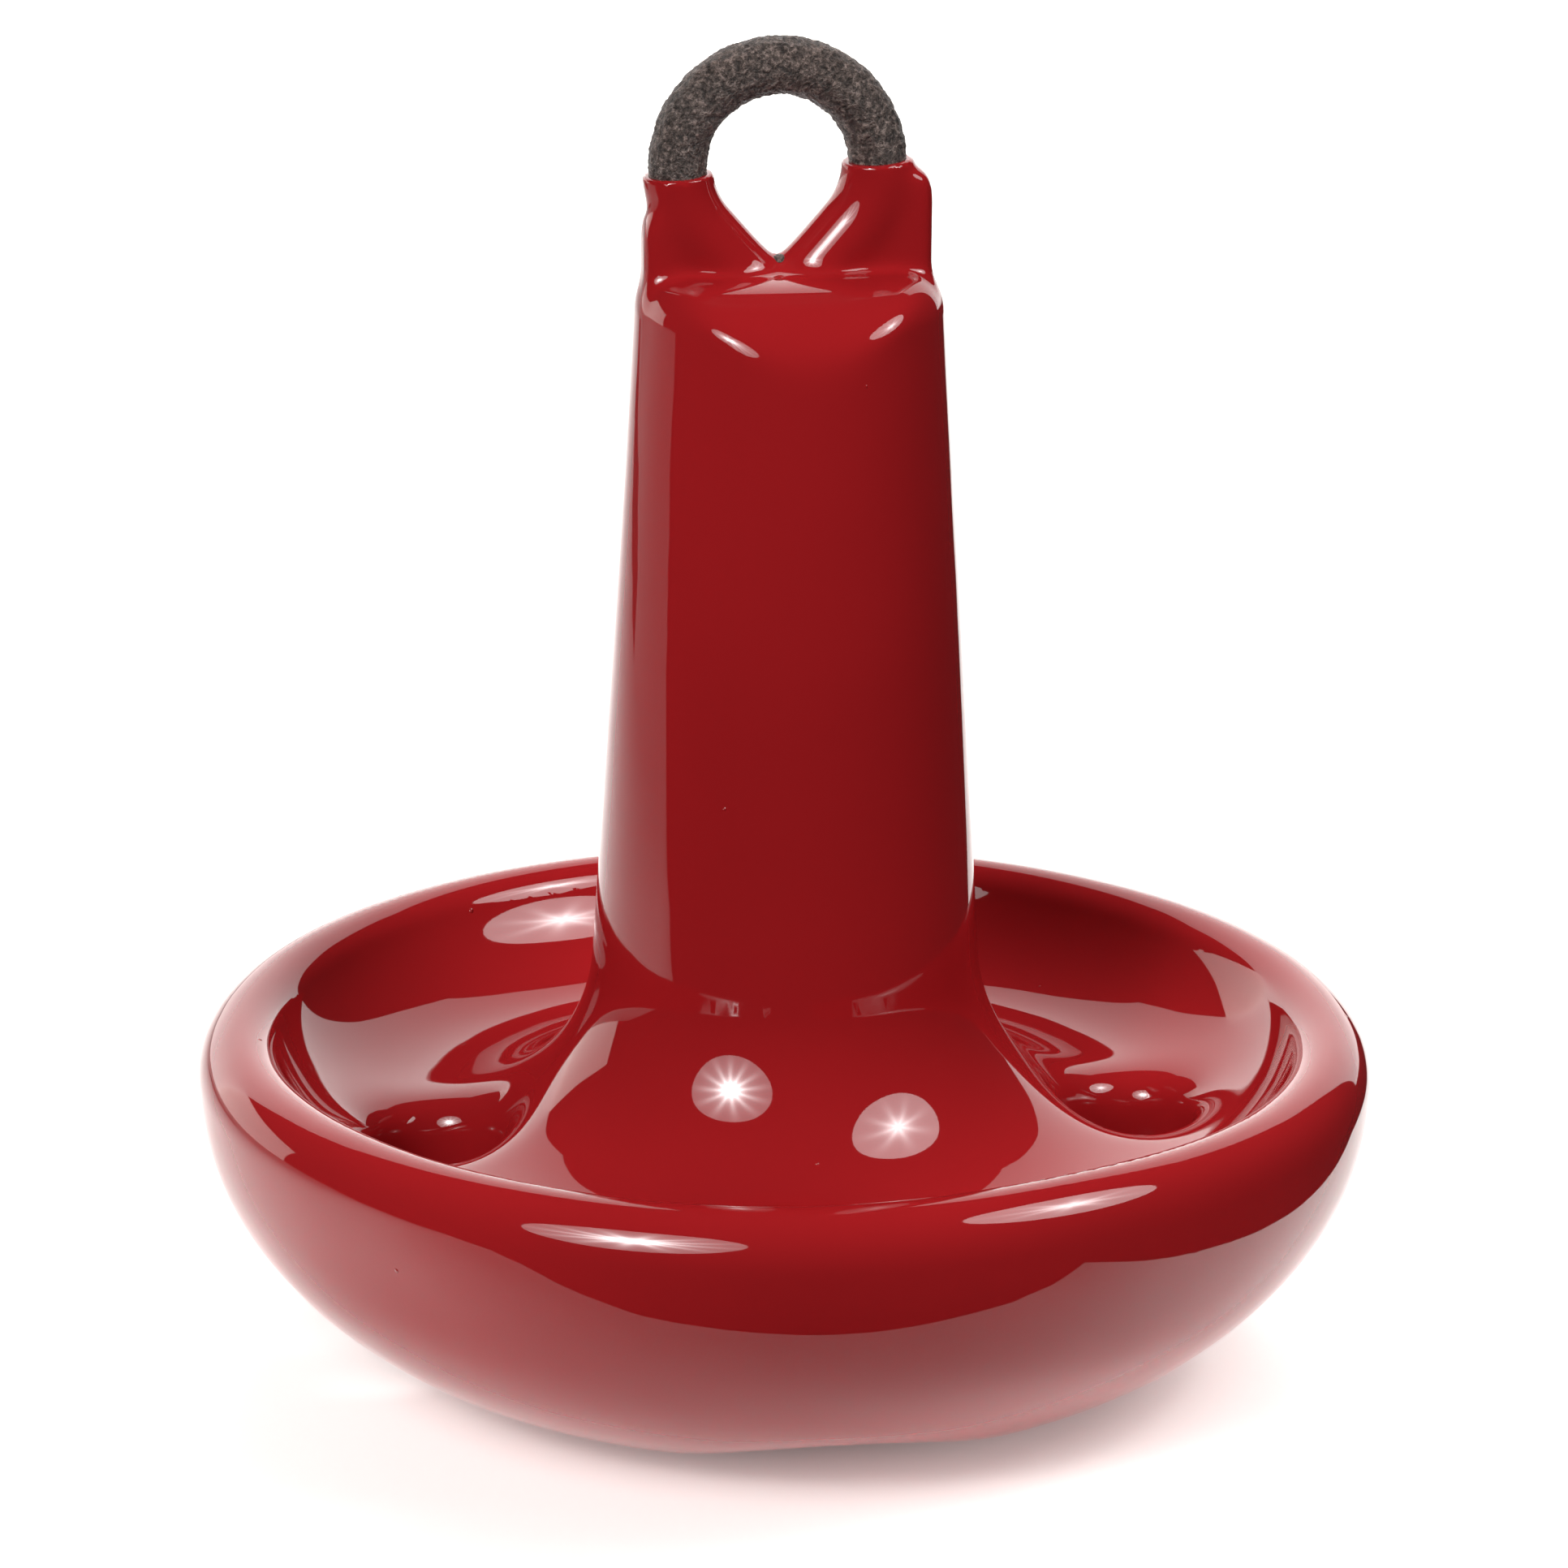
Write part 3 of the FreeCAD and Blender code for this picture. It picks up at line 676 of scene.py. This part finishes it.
def make_piece(name, tree, sizes):
    """Run a tree once, keep its result as a plain mesh on a new object."""
    holder = bpy.data.objects.new(name + "_maker", bpy.data.meshes.new(name + "_maker"))
    bpy.context.scene.collection.objects.link(holder)
    modifier = holder.modifiers.new("make", "NODES")
    modifier.node_group = tree
    for item in tree.interface.items_tree:
        if item.in_out == "INPUT":
            for key, (label, *_) in SIZES.items():
                if label == item.name:
                    modifier[item.identifier] = getattr(sizes, key)
    holder.update_tag()
    bpy.context.view_layer.update()
    graph = bpy.context.evaluated_depsgraph_get()
    mesh = bpy.data.meshes.new_from_object(holder.evaluated_get(graph))
    mesh.name = name
    bpy.data.objects.remove(holder)
    if len(mesh.polygons) < FEWEST_FACES:
        raise RuntimeError(name + " came out empty")
    piece = bpy.data.objects.new(name, mesh)
    bpy.context.scene.collection.objects.link(piece)
    return piece


# ---------------------------------------------------------------- finishes

# Vinyl: how far its tone varies, dust that lies on it, and ripples in it.
TONE_SWING = 0.07
DUST_SIZE, DUST_STEEP, DUST_SHARE = 0.034, 18.0, 0.55
RIPPLE = 0.10
VINYL_BUMP = 0.0006
VINYL_ROUGHNESS = 0.03
VINYL_IOR = 1.54

# Where the vinyl is thin over the burr: place, radius and how ragged its edge is, in mm.
THIN_PLACE = (-1.9, -4.6, 170.9)
THIN_RADIUS = 0.75
THIN_RAGGED = 1.2
THIN_COLOUR = (0.05, 0.045, 0.042, 1.0)

# Iron: darkest and lightest grains, where the middle tone sits, and the rust over them.
GRAIN_DARK, GRAIN_LIGHT = (0.026, 0.022, 0.020, 1.0), (0.33, 0.275, 0.25, 1.0)
GRAIN_LOW, GRAIN_MIDDLE, GRAIN_HIGH = 0.38, 0.53, 0.66
RUST = (1.0, 0.80, 0.74, 1.0)
IRON_BUMP = 0.0016
IRON_ROUGHNESS = 0.40

PAPER_ROUGHNESS = 0.9


def material(name):
    """A new material, its tree and its main shader."""
    made = bpy.data.materials.new(name)
    made.use_nodes = True
    return made, made.node_tree, made.node_tree.nodes["Principled BSDF"]


def red_vinyl(finish):
    """Glossy dipped vinyl: a few dust specks, faint ripples, thin in the V."""
    made, tree, shader = material("dipped_vinyl")
    here = node_in(tree, "ShaderNodeTexCoord").outputs["Object"]
    tone = node_in(tree, "ShaderNodeTexNoise", Vector=here, Scale=14.0, Detail=2.0)
    colours = node_in(tree, "ShaderNodeValToRGB", Fac=tone.outputs[0])
    ramp = colours.color_ramp
    ramp.elements[0].position, ramp.elements[1].position = 0.3, 0.7
    for stop, swing in zip(ramp.elements, (1.0 - TONE_SWING, 1.0 + TONE_SWING)):
        stop.color = (*[c * swing for c in finish.vinyl_colour], 1.0)
    away = vector_math(tree, "DISTANCE", here, tuple(c * MM for c in THIN_PLACE))
    ragged = node_in(tree, "ShaderNodeTexNoise", Vector=here, Scale=900.0, Detail=2.0)
    spot = Amount(tree, away) + (Amount(tree, ragged.outputs[0]) - 0.5) * THIN_RAGGED * MM
    thin = node_in(tree, "ShaderNodeMix", {"data_type": "RGBA"})
    feed(tree, thin.inputs["Factor"], spot < THIN_RADIUS * MM)
    feed(tree, thin.inputs[6], colours.outputs[0])
    thin.inputs[7].default_value = THIN_COLOUR
    tree.links.new(thin.outputs[2], shader.inputs["Base Color"])
    dust = node_in(tree, "ShaderNodeTexVoronoi", Vector=here, Scale=80.0)
    chance = split(tree, dust.outputs["Color"])[0]
    grain = larger(-Amount(tree, dust.outputs["Distance"]) + DUST_SIZE, 0.0) * DUST_STEEP
    ripple = node_in(tree, "ShaderNodeTexNoise", Vector=here, Scale=70.0, Detail=1.0)
    height = grain * (chance > DUST_SHARE) + Amount(tree, ripple.outputs[0]) * RIPPLE
    bump = node_in(tree, "ShaderNodeBump", Height=height, Strength=1.0,
                   Distance=VINYL_BUMP)
    tree.links.new(bump.outputs[0], shader.inputs["Normal"])
    shader.inputs["Roughness"].default_value = VINYL_ROUGHNESS
    shader.inputs["IOR"].default_value = VINYL_IOR
    return made


def bare_iron(finish):
    """As-cast iron: speckled with sand grains, rusted a little."""
    made, tree, shader = material("sand_cast_iron")
    here = node_in(tree, "ShaderNodeTexCoord").outputs["Object"]
    specks = node_in(tree, "ShaderNodeTexNoise", Vector=here, Scale=1250.0, Detail=3.0,
                     Roughness=0.8)
    stain = node_in(tree, "ShaderNodeTexNoise", Vector=here, Scale=120.0, Detail=3.0)
    tones = node_in(tree, "ShaderNodeValToRGB", Fac=specks.outputs[0])
    ramp = tones.color_ramp
    ramp.elements[0].position, ramp.elements[1].position = GRAIN_LOW, GRAIN_HIGH
    ramp.elements[0].color, ramp.elements[1].color = GRAIN_DARK, GRAIN_LIGHT
    middle = ramp.elements.new(GRAIN_MIDDLE)
    middle.color = (*finish.iron_colour, 1.0)
    rust = node_in(tree, "ShaderNodeMix", {"data_type": "RGBA", "blend_type": "MULTIPLY"})
    feed(tree, rust.inputs["Factor"], Amount(tree, stain.outputs[0]))
    feed(tree, rust.inputs[6], tones.outputs[0])
    rust.inputs[7].default_value = RUST
    tree.links.new(rust.outputs[2], shader.inputs["Base Color"])
    bump = node_in(tree, "ShaderNodeBump", Height=specks.outputs[0], Strength=1.0,
                   Distance=IRON_BUMP)
    tree.links.new(bump.outputs[0], shader.inputs["Normal"])
    shader.inputs["Roughness"].default_value = IRON_ROUGHNESS
    return made


def flat_paint(name, colour, glow=0.0):
    """A matt colour for the studio's boards, glowing or not."""
    made, _, shader = material(name)
    shader.inputs["Base Color"].default_value = (*colour, 1.0)
    shader.inputs["Roughness"].default_value = PAPER_ROUGHNESS
    if glow:
        shader.inputs["Emission Color"].default_value = (*colour, 1.0)
        shader.inputs["Emission Strength"].default_value = glow
    return made


# ---------------------------------------------------------------- properties

class AnchorSizes(bpy.types.PropertyGroup):
    """Sizes of the anchor."""


for _key, (_label, _value, _unit, _note) in SIZES.items():
    AnchorSizes.__annotations__[_key] = FloatProperty(
        name=_label, description=_note, default=_value * SCALE[_unit], precision=5,
        unit="LENGTH" if _unit == "mm" else "ROTATION")


class AnchorFinish(bpy.types.PropertyGroup):
    """Colours of the anchor's two finishes."""

    vinyl_colour: FloatVectorProperty(
        name="Vinyl", description="Colour of the dipped vinyl", subtype="COLOR",
        size=3, min=0.0, max=1.0, default=(0.288, 0.0088, 0.0108))
    iron_colour: FloatVectorProperty(
        name="Bare iron", description="Colour of the as-cast iron", subtype="COLOR",
        size=3, min=0.0, max=1.0, default=(0.115, 0.094, 0.084))


class AnchorStudio(bpy.types.PropertyGroup):
    """Camera and light."""

    camera_distance: FloatProperty(
        name="Camera distance", description="Level distance from the anchor's axis",
        default=1.0481, unit="LENGTH")
    camera_height: FloatProperty(
        name="Camera height", description="Height of the camera above the foot",
        default=0.4225, unit="LENGTH")
    camera_side: FloatProperty(
        name="Camera side", description="Sideways shift of the camera",
        default=-0.0004, unit="LENGTH")
    camera_turn: FloatProperty(
        name="Camera turn", description="The camera's place round the anchor",
        default=-8.0 * DEG, subtype="ANGLE")
    camera_pitch: FloatProperty(
        name="Camera pitch", description="How far the camera looks down",
        default=17.61 * DEG, subtype="ANGLE")
    camera_roll: FloatProperty(
        name="Camera roll", description="Roll of the camera", default=0.392 * DEG,
        subtype="ANGLE")
    focal_length: FloatProperty(
        name="Focal length", description="Lens, in millimetres on a 36 mm sensor",
        default=167.7)


# ---------------------------------------------------------------- operators

class ANCHOR_OT_coat(bpy.types.Operator):
    """Make the dipped vinyl coat"""

    bl_idname = "anchor.coat"
    bl_label = "Vinyl coat"

    def execute(self, context):
        finish = red_vinyl(context.scene.anchor_finish)
        coat = make_piece("vinyl_coat_skin", coat_tree(shared_form(), finish),
                          context.scene.anchor_sizes)
        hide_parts("vinyl_coat")
        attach(coat, "root")
        return {"FINISHED"}


class ANCHOR_OT_casting(bpy.types.Operator):
    """Make the iron casting"""

    bl_idname = "anchor.casting"
    bl_label = "Iron casting"

    def execute(self, context):
        finish = bare_iron(context.scene.anchor_finish)
        iron = make_piece("iron_casting", casting_tree(shared_form(), finish),
                          context.scene.anchor_sizes)
        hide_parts("anchor_casting")
        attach(iron, "root")
        return {"FINISHED"}


# ---------------------------------------------------------------- studio

# Outlines in metres, with the camera looking along +Y.
FLOOR_OUTLINE = ((-1.6, 0.25), (-0.80, -0.01), (-0.36, -0.105), (-0.20, -0.135),
                 (-0.11, -0.136), (-0.04, -0.121), (0.07, -0.113), (0.12, -0.12),
                 (0.128, -0.06), (0.145, 0.06), (0.175, 0.27), (0.22, 0.5),
                 (0.34, 1.1), (1.35, 1.8), (-1.6, 1.8))
FLOOR_DROP = 0.0001
BACK_WALL = ((-1.6, 1.8, 0), (-1.6, 1.8, 2.3), (1.35, 1.8, 2.3), (1.35, 1.8, 0))
LEFT_WALL = ((-1.6, 1.8, 0), (-1.6, 0.5, 0), (-1.6, 0.5, 0.5), (-1.6, 1.8, 1.0))
DARK_STRIP = ((-0.44, 0.24, 0.001), (-0.40, 0.56, 0.001), (-0.53, 0.62, 0.001),
              (-0.50, 0.30, 0.001))
PAPER_WHITE, PAPER_GLOW = (0.93, 0.915, 0.895), 0.45
WALL_WHITE, WALL_GLOW = (0.95, 0.94, 0.93), 1.35
SIDE_WHITE, SIDE_GLOW = (0.95, 0.90, 0.86), 1.3
CLOTH_BLACK = (0.02, 0.02, 0.02)
ROOM_DARK = (0.02, 0.018, 0.018, 1)

# Painted shade on the paper: it gets brighter over (start, width) from the front edge and
# from the left, and a painted shadow makes it glow less right under the cap. The least is the
# share of light that always stays.
FRONT_SHADE_CLIMB, FRONT_SHADE_LEAST = (-0.125, 0.055), 0.5
LEFT_SHADE_CLIMB, LEFT_SHADE_LEAST = (-0.44, 0.28), 0.38
PAINTED_SHADOW_CLIMB, PAINTED_SHADOW_LEAST = (0.03, 0.035), 0.1

# An umbrella's glow: how fast it fades outwards, the hot heart, and rays against haze.
GLOW_FADE, HEART_FADE, HEART = -3.2, -16.0, 2.2
RAYS, HAZE = 0.7, 0.3
UMBRELLA_DEPTH = -0.15
LAMPS_AIM = (0, 0, 0.08)


def add_camera(scene, studio):
    """A level tripod: turned round the anchor, tipped down, rolled a little."""
    data = bpy.data.cameras.new("camera")
    data.sensor_width = 36.0
    data.lens = studio.focal_length
    data.clip_start = 0.05
    data.clip_end = 20.0
    camera = bpy.data.objects.new("camera", data)
    scene.collection.objects.link(camera)
    scene.camera = camera
    turn = Matrix.Rotation(studio.camera_turn, 4, "Z")
    place = Matrix.Translation((studio.camera_side, -studio.camera_distance,
                                studio.camera_height))
    tip = Matrix.Rotation(math.pi / 2 - studio.camera_pitch, 4, "X")
    roll = Matrix.Rotation(studio.camera_roll, 4, "Z")
    camera.matrix_world = turn @ place @ tip @ roll


def umbrella_glow(name, brightness, core, ribs):
    """Emission of a white umbrella: bright in the middle, with rays between its ribs."""
    made = bpy.data.materials.new(name)
    made.use_nodes = True
    tree = made.node_tree
    tree.nodes.clear()
    here = node_in(tree, "ShaderNodeTexCoord").outputs["Object"]
    x, y, _ = split(tree, here)
    out = length(x, y)
    turn = y.math("ARCTAN2", x) * float(ribs)
    ray = ((cosine(turn) + 1.0) * 0.5).math("POWER", 2.0)
    middle = (out * out * GLOW_FADE).math("EXPONENT")
    heart = (out * out * HEART_FADE).math("EXPONENT")
    strength = (middle * (ray * RAYS + HAZE) + heart * HEART) * core + brightness
    glow = node_in(tree, "ShaderNodeEmission", Strength=strength)
    leave = tree.nodes.new("ShaderNodeOutputMaterial")
    tree.links.new(glow.outputs[0], leave.inputs["Surface"])
    return made


def umbrella(name, place, aim, radius, brightness, core, ribs):
    """A shallow glowing dish that faces its aim."""
    count = ribs * 4
    turns = [2 * math.pi * k / count for k in range(count)]
    points = [(0.0, 0.0, 0.0)]
    points += [(math.cos(turn), math.sin(turn), UMBRELLA_DEPTH) for turn in turns]
    faces = [(0, k + 1, (k + 1) % count + 1) for k in range(count)]
    mesh = bpy.data.meshes.new(name)
    mesh.from_pydata(points, [], faces)
    mesh.materials.append(umbrella_glow(name + "_glow", brightness, core, ribs))
    item = bpy.data.objects.new(name, mesh)
    bpy.context.scene.collection.objects.link(item)
    facing = (Vector(aim) - Vector(place)).to_track_quat("-Z", "Y").to_matrix().to_4x4()
    item.matrix_world = Matrix.Translation(place) @ facing @ Matrix.Scale(radius, 4)


def soft_lamp(name, place, aim, power, width):
    """A broad soft lamp that leaves no reflection of its own."""
    data = bpy.data.lights.new(name, "AREA")
    data.shape = "DISK"
    data.size = width
    data.energy = power
    item = bpy.data.objects.new(name, data)
    bpy.context.scene.collection.objects.link(item)
    item.location = place
    item.rotation_euler = (Vector(aim) - Vector(place)).to_track_quat("-Z", "Y").to_euler()
    item.visible_glossy = False


def paper(name, colour, glow):
    """White paper with painted shade: dimmer in front and aside, where it runs out of the
    lamps' reach, and a painted shadow right under the cap.
    """
    made, tree, shader = material(name)
    here = node_in(tree, "ShaderNodeTexCoord").outputs["Object"]
    x, y, _ = split(tree, here)
    # Painted shade: colour and glow are darker towards the front edge and towards the left.
    front = climb(y, *FRONT_SHADE_CLIMB)
    left = climb(x, *LEFT_SHADE_CLIMB)
    level = ((front * (1.0 - FRONT_SHADE_LEAST) + FRONT_SHADE_LEAST)
             * (left * (1.0 - LEFT_SHADE_LEAST) + LEFT_SHADE_LEAST))
    tint = vector(tree, *[level * c for c in colour])
    tree.links.new(tint, shader.inputs["Base Color"])
    # Painted shadow: the paper's glow fades right under the cap, where the cap's shadow would
    # fall.
    under = climb(length(x, y), *PAINTED_SHADOW_CLIMB, PAINTED_SHADOW_LEAST)
    tint = vector(tree, *[level * under * c for c in colour])
    tree.links.new(tint, shader.inputs["Emission Color"])
    shader.inputs["Emission Strength"].default_value = glow
    shader.inputs["Roughness"].default_value = PAPER_ROUGHNESS
    return made


def board(name, corners, paint, turn):
    """One flat face of the studio."""
    mesh = bpy.data.meshes.new(name)
    mesh.from_pydata(corners, [], [tuple(range(len(corners)))])
    mesh.materials.append(paint)
    item = bpy.data.objects.new(name, mesh)
    bpy.context.scene.collection.objects.link(item)
    item.matrix_world = turn


def round_place(azimuth, level, height):
    """A point round the anchor: azimuth 0 is towards -Y, positive towards +X."""
    angle = azimuth * DEG
    return (level * math.sin(angle), -level * math.cos(angle), height)


class ANCHOR_OT_stage(bpy.types.Operator):
    """Set up the floor, the light and the camera"""

    bl_idname = "anchor.stage"
    bl_label = "Studio"

    def execute(self, context):
        scene = context.scene
        add_camera(scene, scene.anchor_studio)
        turn = Matrix.Rotation(scene.anchor_studio.camera_turn, 4, "Z")
        board("floor", [(x, y, 0) for x, y in FLOOR_OUTLINE],
              paper("floor_paper_painted_shade", PAPER_WHITE, PAPER_GLOW),
              turn @ Matrix.Translation((0, 0, -FLOOR_DROP)))
        board("back_wall", BACK_WALL, flat_paint("wall_white", WALL_WHITE, WALL_GLOW), turn)
        board("left_wall", LEFT_WALL, flat_paint("side_white", SIDE_WHITE, SIDE_GLOW), turn)
        board("dark_strip", DARK_STRIP, flat_paint("dark_cloth", CLOTH_BLACK), turn)
        umbrella("left_umbrella", turn @ Vector(round_place(-30, 1.08, 0.72)), LAMPS_AIM,
                 radius=0.42, brightness=2.6, core=16.0, ribs=12)
        umbrella("right_umbrella", turn @ Vector(round_place(70, 0.78, 0.94)), LAMPS_AIM,
                 radius=0.35, brightness=4.4, core=7.0, ribs=8)
        soft_lamp("soft_lamp", turn @ Vector((0.1, 0.75, 1.1)), aim=(0, 0.1, 0), power=9.0,
                  width=0.9)
        world = bpy.data.worlds.new("room")
        world.use_nodes = True
        world.node_tree.nodes["Background"].inputs[0].default_value = ROOM_DARK
        scene.world = world
        scene.view_settings.view_transform = "Standard"
        return {"FINISHED"}


class ANCHOR_PT_panel(bpy.types.Panel):
    """Lists the anchor's pieces and sizes"""

    bl_idname = "ANCHOR_PT_panel"
    bl_label = "Mushroom anchor"
    bl_space_type = "VIEW_3D"
    bl_region_type = "UI"
    bl_category = "Anchor"

    def draw(self, context):
        layout = self.layout
        for operator in (ANCHOR_OT_coat, ANCHOR_OT_casting, ANCHOR_OT_stage):
            layout.operator(operator.bl_idname)
        scene = context.scene
        for group in (scene.anchor_sizes, scene.anchor_finish, scene.anchor_studio):
            box = layout.box()
            for name in group.__annotations__:
                box.prop(group, name)


CLASSES = (AnchorSizes, AnchorFinish, AnchorStudio, ANCHOR_OT_coat, ANCHOR_OT_casting,
           ANCHOR_OT_stage, ANCHOR_PT_panel)


def register():
    for made in CLASSES:
        bpy.utils.register_class(made)
    bpy.types.Scene.anchor_sizes = bpy.props.PointerProperty(type=AnchorSizes)
    bpy.types.Scene.anchor_finish = bpy.props.PointerProperty(type=AnchorFinish)
    bpy.types.Scene.anchor_studio = bpy.props.PointerProperty(type=AnchorStudio)


def unregister():
    del bpy.types.Scene.anchor_studio
    del bpy.types.Scene.anchor_finish
    del bpy.types.Scene.anchor_sizes
    for made in reversed(CLASSES):
        bpy.utils.unregister_class(made)


def main():
    register()
    bpy.ops.anchor.coat()
    bpy.ops.anchor.casting()
    bpy.ops.anchor.stage()


if __name__ == "__main__":
    main()
